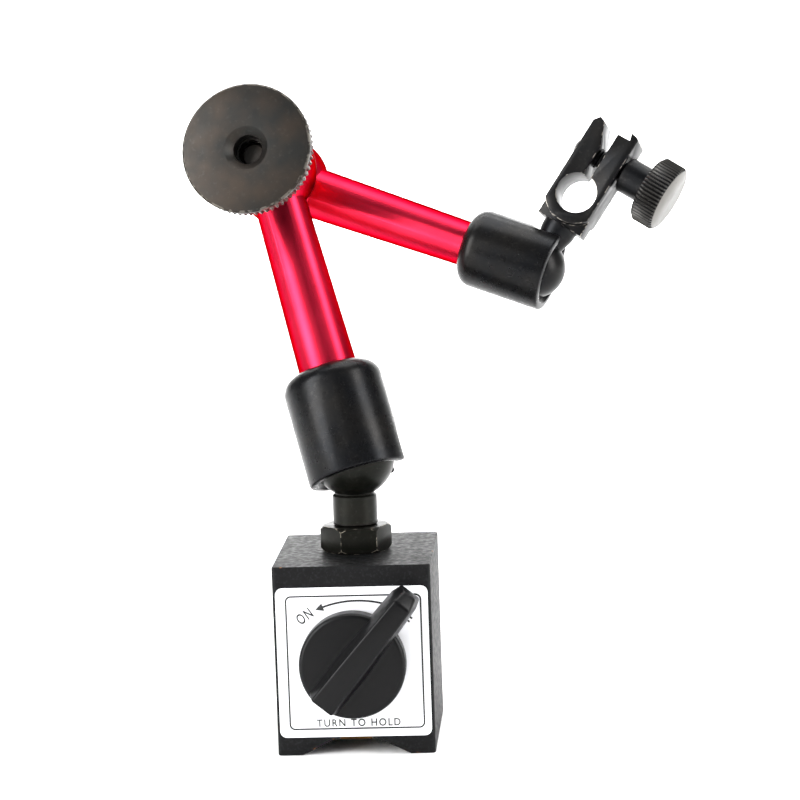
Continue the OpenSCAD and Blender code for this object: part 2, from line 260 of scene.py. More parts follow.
def rubbed_edges(tree, vector, patch_mm, share):
    """Where the coat has rubbed off: broken patches along the bevelled edges."""
    patches = add(tree, "TexNoise", {"Vector": vector, "Scale": 1 / patch_mm, "Detail": 4})
    limit = 0.68 - 0.36 * share
    bare = add(tree, "MapRange", {"Value": patches, "From Min": limit, "From Max": limit + 0.08})
    edge = add(tree, "Attribute", attribute_name="worn_edge")
    return add(tree, "Math", {"Value": edge.outputs["Fac"], "Value_001": bare},
               operation="MULTIPLY")


def black_oxide(name, place, coat="#131416", thin="#1b1a19", bare="#9a9791",
                roughness=0.3, wear=0.5, marks_mm=0.004):
    """Black oxide on turned steel: a thin oiled coat that follows every tool mark,
    bluish black where it is thick and brown or grey where it is thin. Bare steel
    shows along rubbed edges, and fine grey scuffs lie over the rest."""
    material, tree, shader = new_finish(name, Metallic=0.6, Specular_IOR_Level=0.15)
    vector = millimetres(tree, place)
    clouds = add(tree, "TexNoise", {"Vector": vector, "Scale": 1 / 6.0, "Detail": 3})
    thinning = add(tree, "MapRange", {"Value": clouds, "From Min": 0.35, "From Max": 0.7})
    coated = add(tree, "Mix", {"Factor": thinning, "A": linear(coat), "B": linear(thin)},
                 data_type="RGBA")
    dust = add(tree, "TexNoise", {"Vector": vector, "Scale": 1 / 0.7, "Detail": 5})
    scuffs = add(tree, "MapRange", {"Value": dust, "From Min": 0.58, "From Max": 0.82,
                                    "To Max": 0.14})
    scuffed = add(tree, "Mix", {"Factor": scuffs, "A": coated, "B": linear("#55534f")},
                  data_type="RGBA")
    colour = add(tree, "Mix", {"Factor": rubbed_edges(tree, vector, 1.2, wear),
                               "A": scuffed, "B": linear(bare)}, data_type="RGBA")
    oil = add(tree, "TexNoise", {"Vector": vector, "Scale": 1 / 1.8, "Detail": 4})
    gloss = add(tree, "MapRange", {"Value": oil, "From Min": 0.3, "From Max": 0.7,
                                   "To Min": roughness - 0.02, "To Max": roughness + 0.06})
    marks = add(tree, "Bump", {"Height": turning_marks(tree, vector, 0.35),
                               "Distance": marks_mm * MM})
    dress(tree, shader, Base_Color=colour, Roughness=gloss, Normal=marks)
    return material


def red_anodised(name, place):
    """Bright red anodised aluminium: a clear dyed layer over a turned surface, which
    keeps the metal's gloss. The lathe's fine rings draw its highlights out along the
    arm as a silky sheen."""
    material, tree, shader = new_finish(name, Metallic=1.0, Anisotropic=0.8,
                                        Specular_Tint=linear("#6a1524"))
    vector = millimetres(tree, place)
    depth = add(tree, "TexNoise", {"Vector": vector, "Scale": 1 / 9.0, "Detail": 2})
    shade = add(tree, "MapRange", {"Value": depth, "From Min": 0.3, "From Max": 0.7})
    dyed = add(tree, "Mix", {"Factor": shade, "A": linear("#cf2742"), "B": linear("#c2203a")},
               data_type="RGBA")
    colour = add(tree, "Mix", {"Factor": rubbed_edges(tree, vector, 1.5, 0.1),
                               "A": dyed, "B": linear("#f08c9c")}, data_type="RGBA")
    rings = turning_marks(tree, vector, 0.3)
    silk = add(tree, "MapRange", {"Value": rings, "From Min": 0.3, "From Max": 0.7,
                                  "To Min": 0.36, "To Max": 0.42})
    marks = add(tree, "Bump", {"Height": rings, "Distance": 0.0004 * MM})
    along = add(tree, "VectorTransform", {"Vector": place.col[2].xyz},
                vector_type="VECTOR", convert_from="OBJECT", convert_to="WORLD")
    dress(tree, shader, Base_Color=colour, Roughness=silk, Normal=marks, Tangent=along)
    return material


def black_enamel(name):
    """Air-dried black enamel on the ground iron block: thin, semi-matt and grainy,
    with the odd chip down to brown primer along its edges."""
    material, tree, shader = new_finish(name, IOR=1.5, Specular_IOR_Level=0.12)
    vector = millimetres(tree, BASE)
    pores = add(tree, "TexNoise", {"Vector": vector, "Scale": 1 / 0.45, "Detail": 5})
    thinning = add(tree, "MapRange", {"Value": pores, "From Min": 0.5, "From Max": 0.75})
    coat = add(tree, "Mix", {"Factor": thinning, "A": linear("#0a0a0b"),
                             "B": linear("#1a1b1c")}, data_type="RGBA")
    colour = add(tree, "Mix", {"Factor": rubbed_edges(tree, vector, 1.4, 0.06),
                               "A": coat, "B": linear("#7a5534")}, data_type="RGBA")
    cure = add(tree, "TexNoise", {"Vector": vector, "Scale": 1 / 0.9, "Detail": 4})
    gloss = add(tree, "MapRange", {"Value": cure, "From Min": 0.3, "From Max": 0.7,
                                   "To Min": 0.36, "To Max": 0.62})
    grain = add(tree, "TexNoise", {"Vector": vector, "Scale": 1 / 0.32, "Detail": 3})
    grit = add(tree, "Bump", {"Height": grain, "Distance": 0.02 * MM})
    dress(tree, shader, Base_Color=colour, Roughness=gloss, Normal=grit)
    return material


def moulded_plastic(name):
    """Injection-moulded black ABS: satin, with faint drawn-out rubbing marks."""
    material, tree, shader = new_finish(name, IOR=1.53, Specular_IOR_Level=0.14,
                                        Base_Color=linear("#060607"))
    vector = millimetres(tree, SWITCH)
    skin = add(tree, "TexNoise", {"Vector": vector, "Scale": 1 / 1.2, "Detail": 4})
    gloss = add(tree, "MapRange", {"Value": skin, "From Min": 0.3, "From Max": 0.7,
                                   "To Min": 0.3, "To Max": 0.4})
    drawn = add(tree, "Mapping", {"Vector": vector, "Scale": (2.4, 0.25, 1)})
    rubs = add(tree, "TexNoise", {"Vector": drawn, "Scale": 1 / 0.6, "Detail": 2})
    marks = add(tree, "Bump", {"Height": rubs, "Distance": 0.004 * MM})
    dress(tree, shader, Roughness=gloss, Normal=marks)
    return material


def label_face(name):
    """Thin aluminium plate printed white, with a slight satin sheen."""
    material, tree, shader = new_finish(name, IOR=1.45)
    vector = millimetres(tree, BASE)
    handling = add(tree, "TexNoise", {"Vector": vector, "Scale": 1 / 6.0, "Detail": 3})
    colour = add(tree, "Mix", {"Factor": handling, "A": linear("#f4f4f6"),
                               "B": linear("#eaebef")}, data_type="RGBA")
    film = add(tree, "TexNoise", {"Vector": vector, "Scale": 1 / 0.8, "Detail": 3})
    gloss = add(tree, "MapRange", {"Value": film, "To Min": 0.28, "To Max": 0.42})
    marks = add(tree, "Bump", {"Height": film, "Distance": 0.001 * MM})
    dress(tree, shader, Base_Color=colour, Roughness=gloss, Normal=marks)
    return material


def printing_ink(name):
    """Screen-printed black ink, slightly uneven."""
    material, tree, shader = new_finish(name, Roughness=0.5)
    mesh_marks = add(tree, "TexNoise", {"Vector": millimetres(tree, BASE),
                                        "Scale": 1 / 0.4, "Detail": 3})
    colour = add(tree, "Mix", {"Factor": mesh_marks, "A": linear("#0c0c0d"),
                               "B": linear("#242426")}, data_type="RGBA")
    dress(tree, shader, Base_Color=colour)
    return material


def bare_metal(name, colour, tarnish, place=None, roughness=0.3):
    """Plain turned metal, with fine rings and a little tarnish."""
    material, tree, shader = new_finish(name, Metallic=1.0)
    vector = millimetres(tree, place or BASE)
    clouds = add(tree, "TexNoise", {"Vector": vector, "Scale": 1 / 2.5, "Detail": 4})
    dulling = add(tree, "MapRange", {"Value": clouds, "From Min": 0.35, "From Max": 0.7})
    mixed = add(tree, "Mix", {"Factor": dulling, "A": linear(colour), "B": linear(tarnish)},
                data_type="RGBA")
    rings = turning_marks(tree, vector, 0.25)
    gloss = add(tree, "MapRange", {"Value": rings, "From Min": 0.3, "From Max": 0.7,
                                   "To Min": roughness - 0.06, "To Max": roughness + 0.08})
    marks = add(tree, "Bump", {"Height": rings, "Distance": 0.004 * MM})
    dress(tree, shader, Base_Color=mixed, Roughness=gloss, Normal=marks)
    return material


enamel = black_enamel("black enamel on ground iron")
abs_black = moulded_plastic("moulded black ABS")
label_white = label_face("white printed aluminium plate")
ink = printing_ink("black screen ink")
brass_strip = bare_metal("milled brass strip", "#4a3419", "#2e2011", roughness=0.45)
turned_brass = bare_metal("turned brass", "#c9a25a", "#a9803e")
turned_steel = bare_metal("turned steel", "#b9b8b5", "#9a9894")
magnet_grey = bare_metal("sintered magnet", "#55565a", "#444548", roughness=0.5)
spring_grey = bare_metal("spring steel", "#8f8f90", "#77767a", HINGE)
BROWNED = {"coat": "#121310", "thin": "#1c1b17", "bare": "#8b8579"}
nut_oxide = black_oxide("browned steel, nut and ball stud", STUD, wear=0.55, **BROWNED)
knob_oxide = black_oxide("browned steel, locking knob", HINGE, coat="#232322",
                         thin="#302a25", bare="#a09a90", roughness=0.36, wear=0.6,
                         marks_mm=0.005)
lower_oxide = black_oxide("black oxide, lower socket", LOWER_ARM, roughness=0.27, wear=0.3)
upper_oxide = black_oxide("black oxide, upper socket", UPPER_ARM, roughness=0.27, wear=0.4)
clamp_oxide = black_oxide("black oxide, milled clamp", CLAMP, bare="#858079",
                          wear=0.5, marks_mm=0.002)
tip_oxide = black_oxide("black oxide, upper ball stud", CLAMP, wear=0.3)
thumb_oxide = black_oxide("black oxide, thumb screw", THUMB, wear=1.2)
lower_red = red_anodised("red anodised, lower arm", LOWER_ARM)
upper_red = red_anodised("red anodised, upper arm", UPPER_ARM)

# ---------------------------------------------------------------- mesh helpers


def arc(radius, start, end, count, centre=(0, 0)):
    """Points (r, z) on an arc, angles in degrees from the r axis towards z."""
    angles = [radians(start + (end - start) * i / count) for i in range(count + 1)]
    return [(centre[0] + radius * cos(a), centre[1] + radius * sin(a)) for a in angles]


def turned(profile, closed=False, steps=ROUND_STEPS):
    """A lathe-turned body: (r, z) points spun about Z. A closed profile is a ring."""
    bm = bmesh.new()
    corners = [bm.verts.new((r, 0, z)) for r, z in profile]
    pairs = list(zip(corners, corners[1:])) + ([(corners[-1], corners[0])] if closed else [])
    lines = [bm.edges.new(pair) for pair in pairs]
    bmesh.ops.spin(bm, geom=corners + lines, cent=(0, 0, 0), axis=(0, 0, 1), angle=tau,
                   steps=steps, use_merge=True)
    bmesh.ops.remove_doubles(bm, verts=bm.verts, dist=1e-5)
    bmesh.ops.recalc_face_normals(bm, faces=bm.faces)
    return bm


def soften(bm, width, angle=30, segments=2, keep=None):
    """Rounds the sharp edges, and marks the rounding as where the coat wears."""
    edges = [e for e in bm.edges if len(e.link_faces) == 2
             and e.calc_face_angle(0) > radians(angle) and (keep is None or keep(e))]
    if edges:
        worn = bm.faces.layers.float.get("worn_edge") or bm.faces.layers.float.new("worn_edge")
        made = bmesh.ops.bevel(bm, geom=edges, offset=width, affect="EDGES", segments=segments,
                               profile=0.5, material=-1, clamp_overlap=True)
        for face in made["faces"]:
            face[worn] = 1.0
    return bm


def prism(outline, z0, z1):
    """A flat outline of (x, y) points pushed from z0 to z1."""
    bm = bmesh.new()
    face = bm.faces.new([bm.verts.new((x, y, z0)) for x, y in outline])
    made = bmesh.ops.extrude_face_region(bm, geom=[face])
    moved = [g for g in made["geom"] if isinstance(g, bmesh.types.BMVert)]
    bmesh.ops.translate(bm, vec=(0, 0, z1 - z0), verts=moved)
    bmesh.ops.recalc_face_normals(bm, faces=bm.faces)
    return bm


def block(low, high):
    """A box between two corners."""
    bm = bmesh.new()
    size = [b - a for a, b in zip(low, high)]
    middle = [(a + b) / 2 for a, b in zip(low, high)]
    bmesh.ops.create_cube(bm, size=1, matrix=Matrix.LocRotScale(middle, None, size))
    return bm


def rod(radius, z0, z1, turn=None, steps=ROUND_STEPS):
    """A plain round bar along Z, or along another line given by a matrix."""
    bm = turned([(0, z0), (radius, z0), (radius, z1), (0, z1)], steps=steps)
    if turn is not None:
        bmesh.ops.transform(bm, matrix=turn, verts=bm.verts)
    return bm


def joined(first, second, operation):
    """One bmesh cut from, or welded to, another with an exact boolean."""
    objects = []
    for bm in (first, second):
        mesh = bpy.data.meshes.new("scratch")
        bm.to_mesh(mesh)
        bm.free()
        piece = bpy.data.objects.new("scratch", mesh)
        bpy.context.scene.collection.objects.link(piece)
        objects.append(piece)
    modifier = objects[0].modifiers.new("cut", "BOOLEAN")
    modifier.operation = operation
    modifier.solver = "EXACT"
    modifier.object = objects[1]
    shape = objects[0].evaluated_get(bpy.context.evaluated_depsgraph_get())
    result = bmesh.new()
    result.from_mesh(shape.to_mesh())
    shape.to_mesh_clear()
    for piece in objects:
        bpy.data.objects.remove(piece)
    bmesh.ops.remove_doubles(result, verts=result.verts, dist=1e-4)
    bmesh.ops.dissolve_degenerate(result, edges=result.edges, dist=1e-4)
    return result


def cut(first, second):
    return joined(first, second, "DIFFERENCE")


def weld(first, second):
    return joined(first, second, "UNION")


def from_cad(node, place):
    """A merged copy of a CAD node's mesh, in a place's axes, with its flats whole."""
    bm = bmesh.new()
    bm.from_mesh(frame["nodes"][node].data)
    to_mm = Matrix.Scale(1 / MM, 4) @ place.inverted()
    bmesh.ops.transform(bm, matrix=to_mm, verts=bm.verts)
    bmesh.ops.remove_doubles(bm, verts=bm.verts, dist=1e-3)
    bmesh.ops.dissolve_limit(bm, angle_limit=radians(0.6), verts=bm.verts, edges=bm.edges)
    return bm


def finish_piece(name, bm, place, material, body, replaces=(), smooth=32):
    """Turns a drawing in millimetres into a finished piece that rides on its body."""
    bmesh.ops.transform(bm, matrix=place @ Matrix.Scale(MM, 4), verts=bm.verts)
    mesh = bpy.data.meshes.new(name)
    bm.to_mesh(mesh)
    bm.free()
    mesh.polygons.foreach_set("use_smooth", [True] * len(mesh.polygons))
    mesh.set_sharp_from_angle(angle=radians(smooth))
    mesh.materials.append(material)
    piece = bpy.data.objects.new(name, mesh)
    bpy.context.scene.collection.objects.link(piece)
    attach(piece, body)
    if replaces:
        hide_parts(*replaces)
    return piece


# ---------------------------------------------------------------- base


def make_pole(node, name):
    """A pole block with its outer edges broken and its mating edges left sharp."""
    bm = from_cad(node, BASE)

    def outside(edge):
        """Whether an edge is clear of the mating face, the magnet's bore and the stud."""
        return all(abs(v.co.x) > MATING_X and math.hypot(v.co.x, v.co.z - BORE_Z) > BORE_R
                   and v.co.xy.length > STUD_HOLE_R for v in edge.verts)

    soften(bm, 0.3, 40, 3, outside)
    finish_piece(name, bm, BASE, enamel, "base", [node], 40)


def make_label():
    """The square plate, with a thin frame, an arc arrow and the words."""
    half = LABEL_SIDE / 2
    plate = block((-half, -half, 0), (half, half, LABEL_T))
    corners = [e for e in plate.edges if abs((e.verts[0].co - e.verts[1].co).z) > 0.1]
    bmesh.ops.bevel(plate, geom=corners, offset=1.3, affect="EDGES", segments=8, profile=0.5,
                    material=-1)
    hole = rod(3.5, -1, 2)
    plate = cut(plate, hole)
    soften(plate, 0.06, 60, 1)
    finish_piece("label_face", plate, SWITCH, label_white, "base",
                 ["label_plate"])
    draw_frame_line()
    draw_arrow()
    for words, height, width, centre, angle in (
            ("ON", 2.0, 0.66, (-8.9, 8.9), 35),
            ("OFF", 2.0, 0.66, (9.3, 8.6), -40),
            ("TURN TO HOLD", 1.4, 0.9, (0.6, -11.75), 0)):
        draw_words(words, height, width, centre, radians(angle))


def print_piece(name, bm):
    """A printed mark, a little proud of the plate and sunk into it below."""
    finish_piece(name, bm, SWITCH, ink, "base")


INK_LOW = LABEL_T - 0.01
INK_HIGH = LABEL_T + 0.02


def rounded_frame(grow, z0, z1):
    """A square bar as large as the printed frame, grown or shrunk."""
    left, right, half_y = -12.6, 13.2, 12.95
    bm = block((left - grow, -half_y - grow, z0), (right + grow, half_y + grow, z1))
    uprights = [e for e in bm.edges if (e.verts[0].co - e.verts[1].co).xy.length < 0.01]
    bmesh.ops.bevel(bm, geom=uprights, offset=1.1 + grow, affect="EDGES", segments=8,
                    profile=0.5, material=-1)
    return bm


def draw_frame_line():
    line = 0.33
    print_piece("label_frame_line", cut(rounded_frame(0, INK_LOW, INK_HIGH),
                                        rounded_frame(-line, INK_LOW - 1, INK_HIGH + 1)))


def draw_arrow():
    """A shallow arc over the knob that ends in an arrowhead on the ON side."""
    radius, half_line = 19.4, 0.2
    head_half, head_length = 0.78, 1.55
    middle = Vector((1.0, -7.6, 0))
    start, end = radians(72), radians(109.5)
    bm = bmesh.new()
    corners = [bm.verts.new((radius + x, 0, z)) for x, z in (
        (-half_line, INK_LOW), (half_line, INK_LOW), (half_line, INK_HIGH),
        (-half_line, INK_HIGH))]
    section = bm.faces.new(corners)
    bmesh.ops.rotate(bm, verts=bm.verts, cent=(0, 0, 0), matrix=Matrix.Rotation(start, 3, "Z"))
    bmesh.ops.spin(bm, geom=[section] + section.edges[:] + section.verts[:], cent=(0, 0, 0),
                   axis=(0, 0, 1), angle=end - start, steps=32)
    bmesh.ops.translate(bm, vec=middle, verts=bm.verts)
    bmesh.ops.recalc_face_normals(bm, faces=bm.faces)
    print_piece("label_arrow_line", bm)
    tip = prism([(-head_half, -0.05), (head_half, -0.05), (0, head_length)], INK_LOW, INK_HIGH)
    turn = (Matrix.Translation(middle) @ Matrix.Rotation(end, 4, "Z")
            @ Matrix.Translation((radius, 0, 0)))
    bmesh.ops.transform(tip, matrix=turn, verts=tip.verts)
    print_piece("label_arrow_head", tip)


def draw_words(words, cap_height, width, centre, angle):
    """Plain lettering, its letters narrowed or widened to a share of their width."""
    curve = bpy.data.curves.new("words", "FONT")
    curve.body = words
    curve.align_x = "CENTER"
    curve.align_y = "CENTER"
    curve.size = cap_height / 0.7
    curve.offset = 0.028 * cap_height
    curve.space_character = 1.25
    curve.extrude = (INK_HIGH - INK_LOW) / 2
    writing = bpy.data.objects.new("words", curve)
    bpy.context.scene.collection.objects.link(writing)
    bpy.context.view_layer.update()
    shape = writing.evaluated_get(bpy.context.evaluated_depsgraph_get())
    bm = bmesh.new()
    bm.from_mesh(shape.to_mesh())
    shape.to_mesh_clear()
    bpy.data.objects.remove(writing)
    bmesh.ops.remove_doubles(bm, verts=bm.verts, dist=1e-5)
    bmesh.ops.scale(bm, vec=(width, 1, 1), verts=bm.verts)
    turn = Matrix.Translation((*centre, (INK_LOW + INK_HIGH) / 2)) @ Matrix.Rotation(angle, 4, "Z")
    bmesh.ops.transform(bm, matrix=turn, verts=bm.verts)
    print_piece("label_words_" + words.split()[0].lower(), bm)


def make_switch_knob():
    """A shallow round boss with a tapered lever across it, reaching past its edge."""
    disc = turned([(0, 0), (SWITCH_R - 0.2, 0), (SWITCH_R, 0.3), (SWITCH_R, SWITCH_DISC_T - 0.9)]
                  + arc(0.9, 0, 90, 6, (SWITCH_R - 0.9, SWITCH_DISC_T - 0.9))
                  + [(0, SWITCH_DISC_T)])
    lever = bmesh.new()
    sections = (
        # along, crest half-width, foot half-width, low, high
        (-SWITCH_R + 0.9, 2.4, 3.4, SWITCH_DISC_T - 1, LEVER_TOP - 0.9),
        (0, 2.3, 3.6, SWITCH_DISC_T - 1, LEVER_TOP),
        (LEVER_REACH - 2.2, 1.8, 2.9, 1.6, LEVER_TOP),
        (LEVER_REACH, 1.3, 2.2, 2.2, LEVER_TOP - 2.3))
    loops = []
    for along, crest, foot, low, high in sections:
        corners = [lever.verts.new((x, along, z)) for x, z in (
            (-foot, low), (foot, low), (crest, high), (-crest, high))]
        loops.append([lever.edges.new((corners[i], corners[(i + 1) % 4])) for i in range(4)])
    for first, second in zip(loops, loops[1:]):
        bmesh.ops.bridge_loops(lever, edges=first + second)
    bmesh.ops.holes_fill(lever, edges=lever.edges, sides=4)
    bmesh.ops.recalc_face_normals(lever, faces=lever.faces)
    soften(lever, 0.45, 20, 4)
    knob = weld(disc, lever)
    soften(knob, 0.25, 34, 3)
    knob = cut(knob, rod(2.52, -1, 3.6))
    place = SWITCH @ Matrix.Translation((0, 0, (LABEL_T + SWITCH_GAP) * MM))
    place = place @ Matrix.Rotation(-LEVER_ANGLE, 4, "Z")
    finish_piece("switch_knob_moulding", knob, place, abs_black, "switch",
                 ["switch_knob"])


# ---------------------------------------------------------------- lower ball joint


def make_nut():
    """The hexagon nut, with its outer edges rounded."""
    bm = from_cad("lock_nut", STUD)
    soften(bm, 0.18, 20, 2, lambda e: all(v.co.xy.length > 4.5 for v in e.verts))
    finish_piece("lock_nut_hexagon", bm, STUD, nut_oxide, "base", ["lock_nut"])


def make_lower_stud():
    """Ball, neck, plain shank and a threaded end, turned from one bar."""
    end = (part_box("lower_ball_stud")[0].z - lower_ball.z) / MM
    shank_low = (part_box("lock_nut")[1].z - lower_ball.z) / MM
    neck_angle = math.degrees(math.asin(NECK_R / BALL_R))
    bm = turned([(0, end), (3.4, end), (4, end + 0.7), (4, shank_low), (SHANK_R - 0.3, shank_low),
                 (SHANK_R, shank_low + 0.3), (SHANK_R, -7.6), (SHANK_R - 0.45, -7.25),
                 (NECK_R, -7.25)]
                + arc(BALL_R, -90 + neck_angle, 90, 40))
    finish_piece("lower_ball_stud_turned", bm, STUD, nut_oxide, "lower_stud",
                 ["lower_ball_stud"])


def socket_body(radius, ball, top, lip, shoulder, bore, depth):
    """A turned cup: opened mouth, straight wall, rounded shoulder and a bored end."""
    hold_z = -lip + 1
    hold_r = math.sqrt((ball + 0.05) ** 2 - hold_z ** 2)
    hold_angle = math.degrees(math.atan2(hold_z, hold_r))
    mouth_r = hold_r + 0.7
    return turned([(radius - 0.5, -lip), (radius - 0.14, -lip + 0.14), (radius, -lip + 0.5)]
                  + arc(shoulder, 0, 90, 12, (radius - shoulder, top - shoulder))
                  + [(bore, top), (bore, depth), (ball + 0.05, depth)]
                  + arc(ball + 0.05, 0, hold_angle, 10)
                  + [(mouth_r, -lip + 0.1), (mouth_r + 0.12, -lip)], closed=True)


def notch_cutter(reach, half, lip):
    """The round-ended slot that a stud swings into, along +X."""
    side = placed(Vector((0, 0, 0)), Vector((1, 0, 0)), Vector((0, 1, 0)))
    return weld(rod(half, 0, reach, side, 64), block((0, -half, -lip - 2), (reach, half, 0)))


def make_socket(name, place, shape, notch_half, notch_turn, material, body, node):
    """A cup with its slot cut; the shape is what socket_body takes."""
    radius, ball, lip = shape[0], shape[1], shape[3]
    cup = socket_body(*shape)
    cutter = notch_cutter(radius + 2, notch_half, lip)
    bmesh.ops.rotate(cutter, verts=cutter.verts, cent=(0, 0, 0),
                     matrix=Matrix.Rotation(radians(notch_turn), 3, "Z"))
    cup = cut(cup, cutter)
    soften(cup, 0.22, 38, 2, lambda e: all(v.co.xy.length > ball * 0.7 for v in e.verts))
    finish_piece(name, cup, place, material, body, [node], 36)


# ---------------------------------------------------------------- arms


def make_arm(name, place, length, tube_r, socket_top, material, body, node):
    """Head and tapered tube turned in one, faced flat on both sides of the head."""
    join_r = tube_r + (-ARM_TAPER if node == "lower_arm" else ARM_TAPER)
    join = math.degrees(math.acos(join_r / ARM_HEAD_R))
    spigot_r = LOWER_SPIGOT_R if node == "lower_arm" else UPPER_SPIGOT_R
    spigot_end = socket_top - SPIGOT_LEN
    blank = turned([(0, spigot_end), (spigot_r, spigot_end), (spigot_r, socket_top),
                    (tube_r, socket_top),
                    (join_r, length - ARM_HEAD_R * sin(radians(join)))]
                   + arc(ARM_HEAD_R, -join, 90, 36, (0, length)))
    across = Matrix.Translation((0, 0, length)) @ Matrix.Rotation(pi / 2, 4, "X")
    for side in (1, -1):
        flip = across @ Matrix.Rotation(0 if side > 0 else pi, 4, "X")
        blank = cut(blank, rod(FACED_R, HEAD_HALF, HEAD_HALF + 9, flip))
    blank = cut(blank, rod(HINGE_BORE_R, -9, 9, across))
    blank = cut(blank, rod(ROD_BORE_R, -1, length + 3))
    soften(blank, 0.14, 24, 2, lambda e: all(v.co.z > length - 10 for v in e.verts))
    finish_piece(name, blank, place, material, body, [node], 34)


# ---------------------------------------------------------------- knobs


def knurl(bm, radius, low, high, depth, teeth, share):
    """Cuts straight teeth between two heights of a body spun in 4 steps a tooth, and
    marks their crests as where a share of the coat has gone."""
    worn = bm.faces.layers.float.get("worn_edge") or bm.faces.layers.float.new("worn_edge")
    columns = {1: [], 2: [], 3: []}
    for vert in bm.verts:
        if vert.co.xy.length > radius - 0.02 and low <= vert.co.z <= high:
            step = round(math.atan2(vert.co.y, vert.co.x) / tau * teeth * STEPS_PER_TOOTH)
            column = step % STEPS_PER_TOOTH
            if column:
                columns[column].append(vert)
            else:
                for face in vert.link_faces:
                    face[worn] = share
    for column, part in ((1, 0.5), (2, 1.0), (3, 0.5)):
        shrink = 1 - depth * part / radius
        bmesh.ops.scale(bm, vec=(shrink, shrink, 1), verts=columns[column])
    return bm


def wear_rims(bm, chosen, share):
    """Marks the faces of a turned body that lie within chosen radii and heights."""
    worn = bm.faces.layers.float.get("worn_edge") or bm.faces.layers.float.new("worn_edge")
    for face in bm.faces:
        middle = face.calc_center_median()
        if chosen(middle.xy.length, middle.z):
            face[worn] = share


def make_locking_knob():
    """A plain band round the front edge, teeth behind it, and a hub."""
    face, rim_back = KNOB_FACE, KNOB_FACE + KNOB_RIM_T
    crest = KNOB_R - 0.1
    bm = turned([(4.3, face), (KNOB_R - 0.42, face), (KNOB_R - 0.3, face + 0.04),
                 (KNOB_R, face + 0.34), (KNOB_R, face + 0.8), (KNOB_R - 0.25, face + 1.0),
                 (crest - 0.4, face + 1.0), (crest, face + 1.2), (crest, rim_back - 0.5),
                 (crest - 0.6, rim_back), (HUB_R + 0.5, rim_back), (HUB_R, rim_back + 0.5),
                 (HUB_R, HUB_BACK - 0.4), (HUB_R - 0.4, HUB_BACK), (2.55, HUB_BACK),
                 (2.55, face + 4.2), (2.85, face + 4.2), (2.85, face + 1.45),
                 (4.0, face + 0.25)], closed=True, steps=KNOB_TEETH * STEPS_PER_TOOTH)
    knurl(bm, crest, face + 1.1, rim_back - 0.4, 0.42, KNOB_TEETH, 0.2)
    wear_rims(bm, lambda r, z: r > KNOB_R - 0.45 and z < face + 0.9, 0.18)
    finish_piece("locking_knob_knurled", bm, HINGE, knob_oxide, "knob",
                 ["locking_knob"], 38)


def make_thumb_screw():
    """Thread, plain sleeve and a knurled head with a faced end."""
    low = -THUMB_TO_MIDDLE - 1.1
    sleeve, head, end = 5.25, 10.65, 15.65
    head_r, thread_r, root_r = 6.8, 2.0, 1.6
    profile = [(0, low), (1.2, low + 0.05), (1.75, low + 0.4)]
    first = low + 0.5
    for i in range(int((sleeve - first) / THREAD_PITCH)):
        z = first + i * THREAD_PITCH
        profile += [(thread_r, z), (thread_r, z + 0.12), (root_r, z + THREAD_PITCH / 2),
                    (thread_r, z + THREAD_PITCH - 0.12)]
    profile += [(1.9, sleeve), (3.3, sleeve), (3.6, sleeve + 0.3), (3.6, head),
                (6.1, head), (head_r, head + 0.6), (head_r, end - 0.6), (6.35, end - 0.1),
                (6.2, end), (0, end)]
    bm = turned(profile, steps=THUMB_TEETH * STEPS_PER_TOOTH)
    knurl(bm, head_r, head, end, 0.5, THUMB_TEETH, 0.1)
    wear_rims(bm, lambda r, z: z > end - 0.12, 0.4)
    finish_piece("thumb_screw_knurled", bm, THUMB, thumb_oxide, "thumb",
                 ["thumb_screw"], 38)


# ---------------------------------------------------------------- clamp


def make_clamp():
    """The split clamp, milled from one block, with its edges barely broken."""
    bm = from_cad("clamp_block", CLAMP)
    soften(bm, 0.13, 30, 2)
    finish_piece("clamp_block_milled", bm, CLAMP, clamp_oxide, "clamp",
                 ["clamp_block"], 30)


def make_upper_stud():
    """Ball and tapered neck that enters the clamp."""
    neck = math.degrees(math.acos(2.75 / TIP_BALL_R))
    bm = turned([(0, CLAMP_BOTTOM + 2.2), (2, CLAMP_BOTTOM + 2.2), (2, CLAMP_BOTTOM + 0.02),
                 (3.5, CLAMP_BOTTOM - 0.02), (3.45, CLAMP_BOTTOM - 1.6),
                 (2.75, TIP_BALL_R * sin(radians(neck)))]
                + arc(TIP_BALL_R, neck, -90, 40))
    finish_piece("upper_ball_stud_turned", bm, CLAMP, tip_oxide, "upper_stud",
                 ["upper_ball_stud"])


make_pole("left_pole_block", "left_pole_painted")
make_pole("right_pole_block", "right_pole_painted")
make_label()
make_switch_knob()
make_nut()
make_lower_stud()
make_socket("lower_socket_turned", LOWER_ARM,
            (SOCKET_R, BALL_R, SOCKET_TOP, SOCKET_LIP, SOCKET_SHOULDER, SOCKET_BORE_R,
             SOCKET_BORE_END),
            LOWER_NOTCH_R, LOWER_NOTCH_TURN, lower_oxide, "lower_arm", "lower_socket")
make_socket("upper_socket_turned", UPPER_ARM,
            (TIP_SOCKET_R, TIP_BALL_R, TIP_SOCKET_TOP, TIP_LIP, TIP_SHOULDER, TIP_BORE_R,
             TIP_BORE_END),
            TIP_NOTCH_R, 0, upper_oxide, "upper_arm", "upper_socket")
make_arm("lower_arm_turned", LOWER_ARM, lower_len, LOWER_ARM_R, SOCKET_TOP, lower_red,
         "lower_arm", "lower_arm")
make_arm("upper_arm_turned", UPPER_ARM, upper_len, UPPER_ARM_R, TIP_SOCKET_TOP, upper_red,
         "upper_arm", "upper_arm")
make_locking_knob()
make_clamp()
make_upper_stud()
make_thumb_screw()

# ---------------------------------------------------------------- CAD nodes that stay

